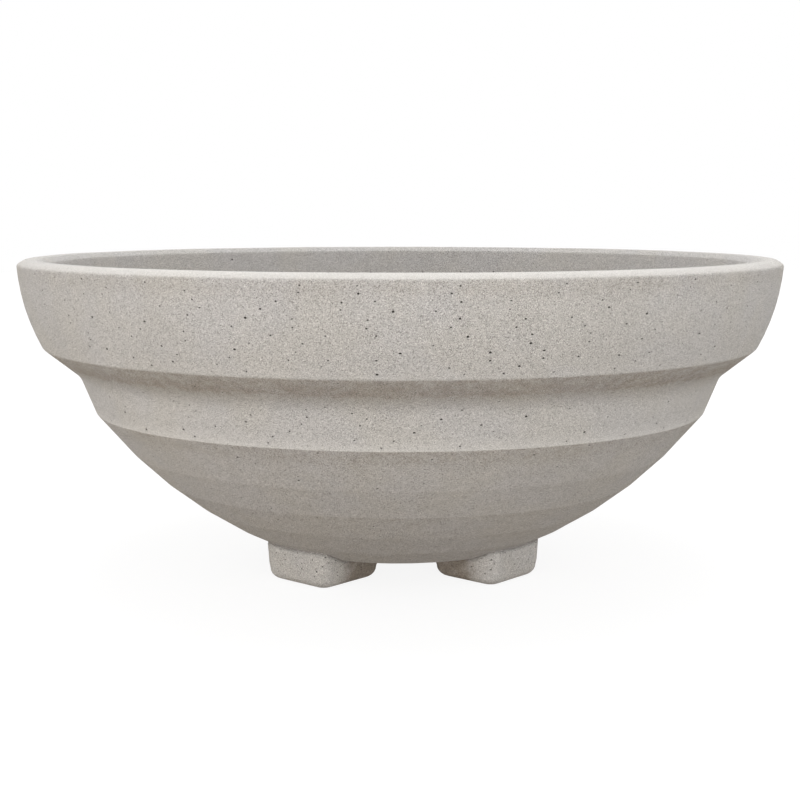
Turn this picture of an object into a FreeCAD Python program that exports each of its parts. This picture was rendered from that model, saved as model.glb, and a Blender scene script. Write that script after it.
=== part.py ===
import FreeCAD, Part
import math
import os

import Sketcher
from FreeCAD import Vector

# Concrete bowl planter on four cast feet. Millimetres and degrees, +Z up, origin on the
# floor under the middle of the bowl, front towards -Y.
SIZES = (
    # outside of the bowl, from the rim down
    ("rim_diameter", 915.0),
    ("rim_round", 9.0),
    ("band_height", 101.7),
    ("band_draw", 27.0),
    ("band_bulge_radius", 239.0),
    ("step_round", 14.0),
    ("ledge_width", 41.5),
    ("ledge_drop", 33.6),
    ("ledge_round", 25.0),
    ("waist_height", 45.2),
    ("waist_draw", 17.9),
    ("waist_round", 6.0),
    ("first_facet_width", 64.5),
    ("first_facet_slope", 49.35),
    ("facet_width", 51.5),
    ("facet_turn", 5.75),
    # thickness of the casting
    ("wall_thickness", 38.0),
    ("floor_thickness", 40.0),
    ("inner_round", 22.0),
    # feet, their mortar beds and dowels
    ("foot_clearance", 30.5),
    ("foot_circle", 276.0),
    ("foot_side", 88.0),
    ("foot_draft", 4.5),
    ("foot_blank_height", 90.0),
    ("foot_corner_round", 9.0),
    ("foot_sole_round", 8.0),
    ("bed_thickness", 2.0),
    ("dowel_diameter", 12.0),
    ("dowel_in_bowl", 22.0),
    ("dowel_cover", 8.0),
    # drain sleeve and its rubber stopper
    ("sleeve_diameter", 33.4),
    ("sleeve_wall", 3.4),
    ("collar_width", 14.0),
    ("collar_thickness", 5.0),
    ("plug_lip", 8.0),
    ("plug_head_height", 6.0),
    ("plug_stem_length", 30.0),
    ("plug_stem_taper", 0.8),
    ("plug_round", 2.0),
    ("grip_width", 20.0),
    ("grip_height", 22.0),
    ("grip_thickness", 6.0),
    ("grip_hole", 9.0),
    # reinforcing steel in the wall
    ("bar_diameter", 8.0),
    ("tie_gap", 1.0),
    ("bar_bend_radius", 24.0),
    ("rim_hoop_drop", 38.0),
    ("rib_top_cover", 22.0),
    # clearances
    ("cast_fit", 0.15),
    ("bar_fit", 0.4),
    ("plug_fit", 0.4),
)
EQUAL_FACETS = 4
FEET = (("front_left", 225), ("front_right", 315), ("rear_right", 45), ("rear_left", 135))
RIBS = 8
RIB_STEP = 360.0 / RIBS
FLOOR_NORMAL = "(-90 deg)"
SAME_PLACE = 0.01

doc = FreeCAD.newDocument("bowl_planter")
sheet = doc.addObject("Spreadsheet::Sheet", "Dims")
for row, (alias, size) in enumerate(SIZES, start=1):
    sheet.set(f"A{row}", alias)
    sheet.set(f"B{row}", str(size))
    sheet.setAlias(f"B{row}", alias)
doc.recompute()


def value(expression):
    """The number that an expression in the sizes stands for now."""
    return float(sheet.evalExpression(expression))


def plane(body, role):
    """One of the body's own origin planes, such as XZ_Plane."""
    return next(item for item in body.Origin.OriginFeatures if item.Role == role)


def new_sketch(body, name, role):
    sketch = body.newObject("Sketcher::SketchObject", name)
    sketch.AttachmentSupport = [(plane(body, role), "")]
    sketch.MapMode = "FlatFace"
    return sketch


def bind(sketch, constraint, expression):
    """Adds a dimension to the sketch and drives it from the sizes."""
    index = sketch.addConstraint(constraint)
    sketch.setExpression(f"Constraints[{index}]", expression)


def place_corner(sketch, edge, end, corner):
    """Holds one end of an edge at a corner given as two expressions."""
    for axis, expression, kind in ((-2, corner[0], "DistanceX"), (-1, corner[1], "DistanceY")):
        if expression == "0":
            sketch.addConstraint(Sketcher.Constraint("PointOnObject", edge, end, axis))
        else:
            where = Sketcher.Constraint(kind, -1, 1, edge, end, value(expression))
            bind(sketch, where, expression)


def arc_between(first, last, radius):
    """A short arc that bulges away from the Z axis, drawn from its lower end to its upper end."""
    lower, upper = sorted((first, last), key=lambda point: point.y)
    along = (upper - lower).normalize()
    outward = Vector(along.y, -along.x, 0)
    half = lower.distanceToPoint(upper) / 2
    rise = radius - (radius**2 - half**2) ** 0.5
    return Part.Arc(lower, (lower + upper) / 2 + outward * rise, upper)


def start_end(sketch, edge, point):
    """Which end of an edge of the sketch, 1 or 2, lies at the point."""
    return 1 if sketch.Geometry[edge].StartPoint.isEqual(point, SAME_PLACE) else 2


def draw(sketch, corners, arcs=None):
    """Draws a closed outline from corner to corner. arcs gives the radius of the bowed edges."""
    arcs = arcs or {}
    points = [Vector(value(x), value(y), 0) for x, y in corners]
    count = len(points)
    starts = []
    for i, first in enumerate(points):
        last = points[(i + 1) % count]
        edge = arc_between(first, last, value(arcs[i])) if i in arcs else Part.LineSegment(first, last)
        sketch.addGeometry(edge, False)
        starts.append(start_end(sketch, i, first))
    for i, corner in enumerate(corners):
        place_corner(sketch, i, starts[i], corner)
        following = (i + 1) % count
        meeting = ("Coincident", i, 3 - starts[i], following, starts[following])
        sketch.addConstraint(Sketcher.Constraint(*meeting))
    for i, radius in arcs.items():
        bind(sketch, Sketcher.Constraint("Radius", i, value(radius)), radius)


def bend_points(before, here, after, radius):
    """Where a bend at a corner leaves the leg that comes in, its crown, and where it goes on."""
    back = (before - here).normalize()
    on = (after - here).normalize()
    half_turn = (math.pi - back.getAngle(on)) / 2
    reach = radius * math.tan(half_turn)
    crown = here + (back + on).normalize() * (radius / math.cos(half_turn) - radius)
    return here + back * reach, crown, here + on * reach


def counter_clockwise(first, middle, last):
    """The arc through three points, drawn in the one direction that a sketch keeps."""
    left_turn = (middle - first).cross(last - middle).z > 0
    return Part.Arc(first, middle, last) if left_turn else Part.Arc(last, middle, first)


def draw_bent(sketch, corners, radius):
    """Draws straight legs through the corners, with a tangent arc of the radius at every bend."""
    points = [Vector(value(x), value(y), 0) for x, y in corners]
    inner = range(1, len(points) - 1)
    bends = [bend_points(*points[i - 1:i + 2], value(radius)) for i in inner]
    leg_starts = [points[0]] + [bend[2] for bend in bends]
    leg_ends = [bend[0] for bend in bends] + [points[-1]]
    legs = [
        sketch.addGeometry(Part.LineSegment(*ends), False) for ends in zip(leg_starts, leg_ends)
    ]
    arcs = [sketch.addGeometry(counter_clockwise(*bend), False) for bend in bends]
    place_corner(sketch, legs[0], 1, corners[0])
    place_corner(sketch, legs[-1], 2, corners[-1])
    for i, arc, bend in zip(inner, arcs, bends):
        entry = start_end(sketch, arc, bend[0])
        sketch.addConstraint(Sketcher.Constraint("Tangent", legs[i - 1], 2, arc, entry))
        sketch.addConstraint(Sketcher.Constraint("Tangent", arc, 3 - entry, legs[i], 1))
        corner = sketch.addGeometry(Part.Point(points[i]), True)
        place_corner(sketch, corner, 1, corners[i])
        for leg in legs[i - 1:i + 1]:
            sketch.addConstraint(Sketcher.Constraint("PointOnObject", corner, 1, leg))
        bind(sketch, Sketcher.Constraint("Radius", arc, value(radius)), radius)


def new_body(name):
    body = doc.addObject("PartDesign::Body", name)
    body.Label = name
    return body


def turn(body, corners, arcs=None):
    """Adds the ring that the corners, given as radius and height, make about the Z axis."""
    sketch = new_sketch(body, f"{body.Name}_profile", "XZ_Plane")
    draw(sketch, corners, arcs)
    ring = body.newObject("PartDesign::Revolution", f"{body.Name}_turned")
    ring.Profile = sketch
    ring.ReferenceAxis = (sketch, ["V_Axis"])
    ring.Angle = 360.0
    doc.recompute()
    return ring


def fillet(body, name, chosen, radius):
    """Rounds the edges of the body for which chosen(edge) is true."""
    last = body.Tip
    edges = [f"Edge{i}" for i, edge in enumerate(last.Shape.Edges, start=1) if chosen(edge)]
    rounding = body.newObject("PartDesign::Fillet", name)
    rounding.Base = (last, edges)
    rounding.setExpression("Radius", radius)
    doc.recompute()
    return rounding


def is_ring(*corners):
    """Tells the circles about the Z axis that run through the given corners."""
    wanted = [(value(x), value(z)) for x, z in corners]

    def chosen(edge):
        if not isinstance(edge.Curve, Part.Circle):
            return False
        found = (edge.Curve.Radius, edge.Curve.Center.z)
        return any(abs(found[0] - x) + abs(found[1] - z) < SAME_PLACE for x, z in wanted)

    return chosen


def boolean(kind, name, base, tool):
    result = doc.addObject(f"Part::{kind}", name)
    result.Base = base
    result.Tool = tool
    return result


def group(name, members):
    result = doc.addObject("Part::Compound", name)
    result.Label = name
    result.Links = members
    return result


# Outline of the bowl: each corner follows from the one before, so that any size can change.
rim_x = "(Dims.rim_diameter / 2)"
step_x = f"({rim_x} - Dims.band_draw)"
ledge_x = f"({step_x} - Dims.ledge_width)"
waist_x = f"({ledge_x} - Dims.waist_draw)"
base_z = "Dims.foot_clearance"
floor_z = f"({base_z} + Dims.floor_thickness)"
widths = ["Dims.first_facet_width"] + ["Dims.facet_width"] * EQUAL_FACETS
slopes = [
    f"((Dims.first_facet_slope - {i} * Dims.facet_turn) * 1 deg)" for i in range(len(widths))
]
crease_x = [waist_x]
for width, slope in zip(widths, slopes):
    crease_x.append(f"({crease_x[-1]} - {width} * cos({slope}))")
crease_z = [base_z]
for width, slope in reversed(list(zip(widths, slopes))):
    crease_z.insert(0, f"({crease_z[0]} + {width} * sin({slope}))")
waist_z = crease_z[0]
ledge_z = f"({waist_z} + Dims.waist_height)"
step_z = f"({ledge_z} + Dims.ledge_drop)"
rim_z = f"({step_z} + Dims.band_height)"

rim = (rim_x, rim_z)
step = (step_x, step_z)
ledge = (ledge_x, ledge_z)
creases = list(zip(crease_x, crease_z))
waist = creases[0]
base = creases[-1]

# Angles of the outward normals, used to set points at a given depth inside the wall.
band_normal = "(-atan(Dims.band_draw / Dims.band_height))"
ledge_normal = "(atan(Dims.ledge_drop / Dims.ledge_width) - 90 deg)"
waist_normal = "(-atan(Dims.waist_draw / Dims.waist_height))"
facet_normals = [f"({slope} - 90 deg)" for slope in slopes]


def inside(corner, upper, lower, depth):
    """The corner moved into the wall, to the same depth behind both of its faces."""
    share = f"{depth} / (1 + cos({upper} - {lower}))"
    x = f"({corner[0]} - (cos({upper}) + cos({lower})) * {share})"
    z = f"({corner[1]} - (sin({upper}) + sin({lower})) * {share})"
    return x, z


def inside_band(drop, depth):
    """A point behind the straight chord of the upper band, at a drop below the rim."""
    x = f"({rim_x} - Dims.band_draw * {drop} / Dims.band_height - {depth} / cos({band_normal}))"
    return x, f"({rim_z} - {drop})"


# The bowl casting: stepped and faceted outside, one smooth hollow inside.
wall = "Dims.wall_thickness"
rim_inner = (f"({rim_x} - {wall})", rim_z)
step_inner = inside(step, band_normal, ledge_normal, wall)
ledge_inner = inside(ledge, ledge_normal, waist_normal, wall)
waist_inner = inside(waist, waist_normal, facet_normals[0], wall)
base_inner = (inside(base, facet_normals[-1], FLOOR_NORMAL, wall)[0], floor_z)
hollow_radius = f"(Dims.facet_width / (2 * sin(Dims.facet_turn / 2)) - {wall})"

sleeve_r = "(Dims.sleeve_diameter / 2)"
collar_r = f"({sleeve_r} + Dims.collar_width)"
collar_low = f"({base_z} + Dims.floor_thickness / 2 - Dims.collar_thickness / 2)"
collar_high = f"({base_z} + Dims.floor_thickness / 2 + Dims.collar_thickness / 2)"
seat_r = f"({sleeve_r} + Dims.cast_fit)"
seat_collar_r = f"({collar_r} + Dims.cast_fit)"
seat_low = f"({collar_low} - Dims.cast_fit)"
seat_high = f"({collar_high} + Dims.cast_fit)"

outside = [base] + creases[-2::-1] + [ledge, step, rim]
hollow = [rim_inner, step_inner, ledge_inner, waist_inner, base_inner]
drain_seat = [
    (seat_r, floor_z),
    (seat_r, seat_high),
    (seat_collar_r, seat_high),
    (seat_collar_r, seat_low),
    (seat_r, seat_low),
    (seat_r, base_z),
]
casting = new_body("bowl_casting")
band_edge = outside.index(step)
hollow_edge = len(outside) + hollow.index(waist_inner)
turn(
    casting,
    outside + hollow + drain_seat,
    {band_edge: "Dims.band_bulge_radius", hollow_edge: hollow_radius},
)
fillet(casting, "rim_rounded", is_ring(rim, rim_inner), "Dims.rim_round")
fillet(casting, "step_rounded", is_ring(step), "Dims.step_round")
fillet(casting, "ledge_rounded", is_ring(ledge), "Dims.ledge_round")
fillet(casting, "waist_rounded", is_ring(waist), "Dims.waist_round")
fillet(casting, "hollow_rounded", is_ring(*hollow[1:]), "Dims.inner_round")

# Reinforcing steel: hoops just outside the middle of the wall, bent ribs just inside it.
# Each bar has a channel in the concrete that is larger than the bar by its fit.
bar_r = "(Dims.bar_diameter / 2)"
channel_r = f"({bar_r} + Dims.bar_fit)"
half_cage = "(Dims.bar_diameter + Dims.tie_gap) / 2"
hoop_depth = f"({wall} / 2 - {half_cage})"
rib_depth = f"({wall} / 2 + {half_cage})"
HOOPS = (
    ("rim_hoop", inside_band("Dims.rim_hoop_drop", hoop_depth)),
    ("step_hoop", inside(step, band_normal, ledge_normal, hoop_depth)),
    ("waist_hoop", inside(waist, waist_normal, facet_normals[0], hoop_depth)),
    ("belly_hoop", inside(creases[2], facet_normals[1], facet_normals[2], hoop_depth)),
    ("base_hoop", inside(creases[4], facet_normals[3], facet_normals[4], hoop_depth)),
)


def hoop(name, centre, radius):
    ring = doc.addObject("Part::Torus", name)
    ring.Label = name
    ring.setExpression("Radius1", centre[0])
    ring.setExpression("Radius2", radius)
    ring.setExpression("Placement.Base.z", centre[1])
    return ring


rib_end = f"(({collar_r} + {base[0]}) / 2)"
rib_path = [
    (rib_end, f"({base_z} + {rib_depth})"),
    inside(base, facet_normals[-1], FLOOR_NORMAL, rib_depth),
]
for i in range(EQUAL_FACETS, 0, -1):
    rib_path.append(inside(creases[i], facet_normals[i - 1], facet_normals[i], rib_depth))
rib_path += [
    inside(waist, waist_normal, facet_normals[0], rib_depth),
    inside(ledge, ledge_normal, waist_normal, rib_depth),
    inside(step, band_normal, ledge_normal, rib_depth),
    inside_band("Dims.rib_top_cover", rib_depth),
]


def rib(name, azimuth, radius, extra):
    """A bar bent along the wall from the floor to the rim. extra lengthens both its ends."""
    body = new_body(name)
    path = new_sketch(body, f"{name}_path", "XZ_Plane")
    start = f"({rib_path[0][0]} - {extra})"
    top = (rib_path[-1][0], f"({rib_path[-1][1]} + {extra})")
    draw_bent(path, [(start, rib_path[0][1])] + rib_path[1:-1] + [top], "Dims.bar_bend_radius")
    section = new_sketch(body, f"{name}_section", "YZ_Plane")
    section.setExpression("AttachmentOffset.Base.z", start)
    circle = section.addGeometry(Part.Circle(Vector(0, value(rib_path[0][1]), 0),
                                             Vector(0, 0, 1), value(radius)), False)
    section.addConstraint(Sketcher.Constraint("PointOnObject", circle, 3, -2))
    height = Sketcher.Constraint("DistanceY", -1, 1, circle, 3, value(rib_path[0][1]))
    bind(section, height, rib_path[0][1])
    bind(section, Sketcher.Constraint("Radius", circle, value(radius)), radius)
    pipe = body.newObject("PartDesign::AdditivePipe", f"{name}_bent")
    pipe.Profile = section
    pipe.Spine = path
    body.Placement.Rotation = FreeCAD.Rotation(Vector(0, 0, 1), azimuth)
    return body


hoops = [hoop(name, centre, bar_r) for name, centre in HOOPS]
channels = [hoop(f"{name}_channel", centre, channel_r) for name, centre in HOOPS]
ribs = []
for i in range(RIBS):
    azimuth = (i + 0.5) * RIB_STEP
    ribs.append(rib(f"rib_bar_{i + 1}", azimuth, bar_r, "0"))
    channels.append(rib(f"rib_channel_{i + 1}", azimuth, channel_r, "Dims.bar_fit"))

# How far the underside over the middle of a foot lies above the base: nothing while the feet
# stand under the flat base, more where a smaller base leaves them under the facets.
foot_r = "(Dims.foot_circle / 2)"
rises = [
    f"{z} - {base_z} + ({foot_r} - {x}) * tan({slope})" for (x, z), slope in zip(creases[1:], slopes)
]
foot_rise = f"max(0; {'; '.join(rises)})"

# Dowels that pin the feet to the floor of the bowl, with a drilled hole round each.
dowel_r = "(Dims.dowel_diameter / 2)"
dowel_length = f"({base_z} + {foot_rise} + Dims.dowel_in_bowl - Dims.dowel_cover)"


def dowel(name, azimuth, clearance):
    pin = doc.addObject("Part::Cylinder", name)
    pin.setExpression("Radius", f"{dowel_r} + {clearance}")
    pin.setExpression("Height", f"{dowel_length} + 2 * {clearance}")
    pin.setExpression("Placement.Base.x", f"{foot_r} * cos({azimuth})")
    pin.setExpression("Placement.Base.y", f"{foot_r} * sin({azimuth})")
    pin.setExpression("Placement.Base.z", f"Dims.dowel_cover - {clearance}")
    return pin


dowels = group("foot_dowels", [dowel(f"{side}_dowel", at, "0") for side, at in FEET])
holes = [dowel(f"{side}_hole", at, "Dims.cast_fit") for side, at in FEET]

bowl = boolean("Cut", "bowl_shell", casting, group("bowl_channels", channels + holes))


# Feet: drafted blocks whose tops are shaped to the underside, one mortar bed below it.
def underside(name, drop):
    """The bowl as a full solid, lowered by drop, to shape what lies against it."""
    form = new_body(name)
    corners = [("0", rim_z), ("0", base_z), base] + creases[-2::-1] + [ledge, step, rim]
    turn(form, [(x, f"({z} - {drop})") for x, z in corners])
    return form


def is_upright(edge):
    return edge.BoundBox.ZLength > SAME_PLACE


def is_on_floor(edge):
    return edge.BoundBox.ZMax < SAME_PLACE


def block(name, azimuth, draft):
    """An upright block standing on the floor over a foot's place, one corner at its own origin."""
    body = new_body(name)
    sketch = new_sketch(body, f"{name}_outline", "XY_Plane")
    side = "Dims.foot_side"
    draw(sketch, [("0", "0"), (side, "0"), (side, side), ("0", side)])
    pad = body.newObject("PartDesign::Pad", f"{name}_raised")
    pad.Profile = sketch
    pad.setExpression("Length", f"Dims.foot_blank_height + {foot_rise}")
    pad.setExpression("TaperAngle", draft)
    doc.recompute()
    fillet(body, f"{name}_corners", is_upright, "Dims.foot_corner_round")
    out = f"cos({azimuth})"
    across = f"sin({azimuth})"
    body.setExpression(
        "Placement.Base.x", f"{foot_r} * {out} - {side} / 2 * ({out} - {across})"
    )
    body.setExpression(
        "Placement.Base.y", f"{foot_r} * {across} - {side} / 2 * ({across} + {out})"
    )
    body.Placement.Rotation = FreeCAD.Rotation(Vector(0, 0, 1), azimuth)
    return body


bowl_form = underside("bowl_form", "0")
bed_form = underside("bed_form", "Dims.bed_thickness")
feet = []
beds = []
for (side, azimuth), hole in zip(FEET, holes):
    blank = block(f"{side}_blank", azimuth, "Dims.foot_draft")
    fillet(blank, f"{side}_sole", is_on_floor, "Dims.foot_sole_round")
    shaped = boolean("Cut", f"{side}_shaped", blank, bed_form)
    feet.append(boolean("Cut", f"{side}_foot", shaped, hole))
    column = block(f"{side}_column", azimuth, "0")
    mortar = boolean("Common", f"{side}_mortar", column, bed_form)
    layer = boolean("Cut", f"{side}_layer", mortar, bowl_form)
    beds.append(boolean("Cut", f"{side}_bed", layer, hole))

# Drain: a plastic sleeve with a water-stop collar, and a rubber stopper pushed in from above.
sleeve = new_body("drain_sleeve")
bore_r = f"({sleeve_r} - Dims.sleeve_wall)"
turn(
    sleeve,
    [
        (bore_r, base_z),
        (sleeve_r, base_z),
        (sleeve_r, collar_low),
        (collar_r, collar_low),
        (collar_r, collar_high),
        (sleeve_r, collar_high),
        (sleeve_r, floor_z),
        (bore_r, floor_z),
    ],
)

plug = new_body("drain_plug")
stem_r = f"({bore_r} - Dims.plug_fit)"
tip_r = f"({stem_r} - Dims.plug_stem_taper)"
tip_z = f"({floor_z} - Dims.plug_stem_length)"
head_r = f"({sleeve_r} + Dims.plug_lip)"
head_z = f"({floor_z} + Dims.plug_head_height)"
turn(
    plug,
    [
        ("0", tip_z),
        (tip_r, tip_z),
        (stem_r, floor_z),
        (head_r, floor_z),
        (head_r, head_z),
        ("0", head_z),
    ],
)
fillet(plug, "plug_softened", is_ring((head_r, head_z), (tip_r, tip_z)), "Dims.plug_round")
grip_x = "(Dims.grip_width / 2)"
grip_root = f"({head_z} - Dims.plug_head_height / 2)"
grip_top = f"({head_z} + Dims.grip_height)"
grip = new_sketch(plug, "grip_outline", "XZ_Plane")
draw(
    grip,
    [
        (f"(-{grip_x})", grip_root),
        (grip_x, grip_root),
        (grip_x, grip_top),
        (f"(-{grip_x})", grip_top),
    ],
)
eye_z = f"({grip_top} - {grip_x})"
eye = grip.addGeometry(Part.Circle(Vector(0, value(eye_z), 0), Vector(0, 0, 1), 1), False)
grip.addConstraint(Sketcher.Constraint("PointOnObject", eye, 3, -2))
bind(grip, Sketcher.Constraint("DistanceY", -1, 1, eye, 3, value(eye_z)), eye_z)
bind(grip, Sketcher.Constraint("Diameter", eye, value("Dims.grip_hole")), "Dims.grip_hole")
tab = plug.newObject("PartDesign::Pad", "grip_raised")
tab.Profile = grip
tab.Midplane = True
tab.setExpression("Length", "Dims.grip_thickness")
doc.recompute()


def is_grip_corner(edge):
    """Tells the two level edges at the top of the grip, where its sides meet its end."""
    box = edge.BoundBox
    return box.ZMin > value(grip_top) - SAME_PLACE and box.XLength < SAME_PLACE


fillet(plug, "grip_rounded", is_grip_corner, "(Dims.grip_width - Dims.grip_thickness) / 2")

doc.recompute()
nodes = [bowl, *feet, *beds, dowels, sleeve, plug, *hoops, *ribs]
for item in doc.Objects:
    if "Invalid" in item.State or "Error" in item.State:
        raise RuntimeError(f"{item.Name} failed: {item.getStatusString()}")
for node in nodes:
    if node.Shape.isNull() or not node.Shape.isValid():
        raise RuntimeError(f"{node.Label} has no valid shape")
os.makedirs("parts", exist_ok=True)
for node in nodes:
    node.Shape.exportStep(f"parts/{node.Label}.step")
    print(node.Label, len(node.Shape.Solids), "solids", round(node.Shape.Volume / 1000.0, 2), "cm3")
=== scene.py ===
# %% [markdown]
# # A concrete bowl planter
# A wide bowl of cast concrete stands on four square feet. Outside it has a tall band below the
# rim, a ledge that steps in to a waist, and a lower bowl made of flat conical facets. The solids
# come from the part's own model. This lesson dresses them: each visible casting is rebuilt as a
# finer mesh in the same place, in metres, and every piece gets a finish that is worked out, not
# painted.

# %% Load the solids
import math
import random

import bpy
from mathutils import Matrix, Vector, noise


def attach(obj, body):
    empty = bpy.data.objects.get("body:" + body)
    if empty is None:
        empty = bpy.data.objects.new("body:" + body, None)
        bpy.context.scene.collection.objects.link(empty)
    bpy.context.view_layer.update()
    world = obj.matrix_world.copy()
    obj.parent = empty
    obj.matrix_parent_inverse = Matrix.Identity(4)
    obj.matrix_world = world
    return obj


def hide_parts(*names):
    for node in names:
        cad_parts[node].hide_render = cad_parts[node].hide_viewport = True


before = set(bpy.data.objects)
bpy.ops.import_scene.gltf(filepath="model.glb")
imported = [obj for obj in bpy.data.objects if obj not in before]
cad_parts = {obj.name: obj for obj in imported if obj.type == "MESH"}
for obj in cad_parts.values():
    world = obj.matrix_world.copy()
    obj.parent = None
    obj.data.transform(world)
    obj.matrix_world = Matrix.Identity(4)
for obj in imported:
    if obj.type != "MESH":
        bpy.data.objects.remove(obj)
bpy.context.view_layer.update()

print("solids loaded:", len(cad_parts))

# %% [markdown]
# ## Shader sums in plain Python
# A finish is mostly arithmetic on masks and noises. Wired by hand it is long and hard to read,
# so a `Wire` stands for one output of a node, and a plus or times between wires adds the node
# that does it. Every other node comes from `Bench.node`: its type, its settings, its sockets.

# %% Wires and benches
NOISE_MIDDLE, BUMP_STRENGTH = 0.5, 0.8


class Wire:
    """One output of a node, which sums and products can be written with."""

    def __init__(self, bench, socket):
        self.bench = bench
        self.socket = socket
        self.wide = socket.type in ("RGBA", "VECTOR")

    def join(self, operation, left, right):
        sides = (left, right)
        wide = any(isinstance(side, tuple) or getattr(side, "wide", False) for side in sides)
        kind = "VectorMath" if wide else "Math"
        return self.bench.node(kind, {"operation": operation}, {0: left, 1: right})

    def __add__(self, other):
        return self.join("ADD", self, other)

    def __radd__(self, other):
        return self.join("ADD", other, self)

    def __sub__(self, other):
        return self.join("SUBTRACT", self, other)

    def __rsub__(self, other):
        return self.join("SUBTRACT", other, self)

    def __mul__(self, other):
        return self.join("MULTIPLY", self, other)

    def __rmul__(self, other):
        return self.join("MULTIPLY", other, self)

    def ramp(self, low, high):
        """0 below low and 1 above high, with a soft step between."""
        settings = {"interpolation_type": "SMOOTHSTEP"}
        sockets = {"Value": self, "From Min": low, "From Max": high}
        return self.bench.node("MapRange", settings, sockets)

    def swing(self, amount):
        """A noise as a swing to both sides of zero, since its own middle is a half."""
        return (self - NOISE_MIDDLE) * amount

    def span(self, low, high):
        """A share of 0 to 1, spread out from low to high."""
        return low + self * (high - low)


class Bench:
    """A node tree under construction, and the shader that it ends in."""

    def __init__(self, tree, shader):
        self.tree = tree
        self.shader = tree.nodes[shader]

    def plug(self, socket, value):
        if isinstance(value, Wire):
            self.tree.links.new(value.socket, socket)
        elif isinstance(value, tuple) and socket.type == "RGBA":
            socket.default_value = (*value, 1.0)
        elif socket.type == "VECTOR" and not isinstance(value, tuple):
            socket.default_value = (value, value, value)
        else:
            socket.default_value = value

    def node(self, kind, settings=None, sockets=None, out=0):
        made = self.tree.nodes.new("ShaderNode" + kind)
        for name, value in (settings or {}).items():
            setattr(made, name, value)
        for name, value in (sockets or {}).items():
            self.plug(made.inputs[name], value)
        return Wire(self, made.outputs[out])

    def feed(self, **sockets):
        for name, value in sockets.items():
            self.plug(self.shader.inputs[name.replace("_", " ")], value)

    def place(self, stretch=(1, 1, 1)):
        return self.node("TexCoord", out="Object") * stretch

    def noise(self, scale, detail=1.0, stretch=(1, 1, 1)):
        sockets = {"Vector": self.place(stretch), "Scale": scale, "Detail": detail}
        return self.node("TexNoise", None, sockets)

    def cells(self, scale, out):
        """A pattern of cells: the Distance to a cell's middle, or the cell's own random Color."""
        return self.node("TexVoronoi", None, {"Vector": self.place(), "Scale": scale}, out)

    def mark(self, name):
        """A mask that was stored on the points of the mesh."""
        return self.node("Attribute", {"attribute_name": name}, out="Fac")

    def mix(self, amount, first, second):
        return self.node("Mix", {"data_type": "RGBA"}, {0: amount, 6: first, 7: second}, out=2)

    def bump(self, height, distance):
        sockets = {"Strength": BUMP_STRENGTH, "Distance": distance, "Height": height}
        return self.node("Bump", None, sockets)


def new_finish(name):
    material = bpy.data.materials.new(name)
    material.use_nodes = True
    return material, Bench(material.node_tree, "Principled BSDF")


print("shader bench ready")

# %% [markdown]
# ## Cast concrete
# Concrete is cement paste with sand in it. Close up, pale and dark grains sit side by side at
# about a millimetre, and broad clouds drift over the face. Edges that get rubbed turn chalky,
# and the same chalk is painted on as highlight where light catches an edge. Places that stay
# damp turn darker and browner, and the same darkening is painted on as shade under the ledge,
# on the facets and on the feet, and darkens the hollow. Air holes are painted almost black as
# shade. The grains are two noises and one cell pattern, pin-sized pores another. The rest is read
# from masks that the mesh carries. A noise is given by its scale, in waves to the metre, and its
# detail.

# %% The concrete finish
PASTE = (0.475, 0.454, 0.427)
PALE_GRAIN, DARK_GRAIN = (0.70, 0.68, 0.65), (0.17, 0.16, 0.145)
# The chalk colour is also painted on as highlight on lit edges; HOLE_SHADE is painted shade inside
# air holes.
CHALK_AND_HIGHLIGHT, HOLE_SHADE = (0.66, 0.64, 0.61), (0.045, 0.04, 0.035)
# The damp tint is also the colour of painted shade under the ledge, on the facets and feet, and of
# the darker hollow.
DAMP_AND_SHADE_TINT, COOL = (0.61, 0.555, 0.49), (0.985, 0.995, 1.03)
FINE_SAND, COARSE_SAND, GRAIN_CELLS, PORE_CELLS = 2600.0, 700.0, 1450.0, 540.0
CLOUDS, DRIFT, MOTTLE = (7.0, 4.0), (13.0, 2.0), (95.0, 3.0)
FINE_SWING, COARSE_SWING, CLOUD_SWING, CHALK_AND_HIGHLIGHT_SWING = 3.8, 0.25, 0.14, 1.6
PALE_AMOUNT, DARK_AMOUNT, PORE_AMOUNT = 0.52, 0.68, 0.75
UNMARKED_MOTTLE, MOTTLE_LOST_DARKENED = 2.7, 1.6
PORE_SIZE, PORE_PICK, PALE_PICK, DARK_PICK = (0.14, 0.36), (0.72, 0.80), (0.76, 1.0), (0.72, 1.0)
DRIFT_EDGES, PIT_EDGES, CONCRETE_ROUGH = (0.35, 0.65), (0.2, 0.8), (0.9, 1.0)
SAND_RELIEF, GRAIN_RELIEF, RELIEF_DEPTH = 0.6, 0.3, 0.0007


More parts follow.
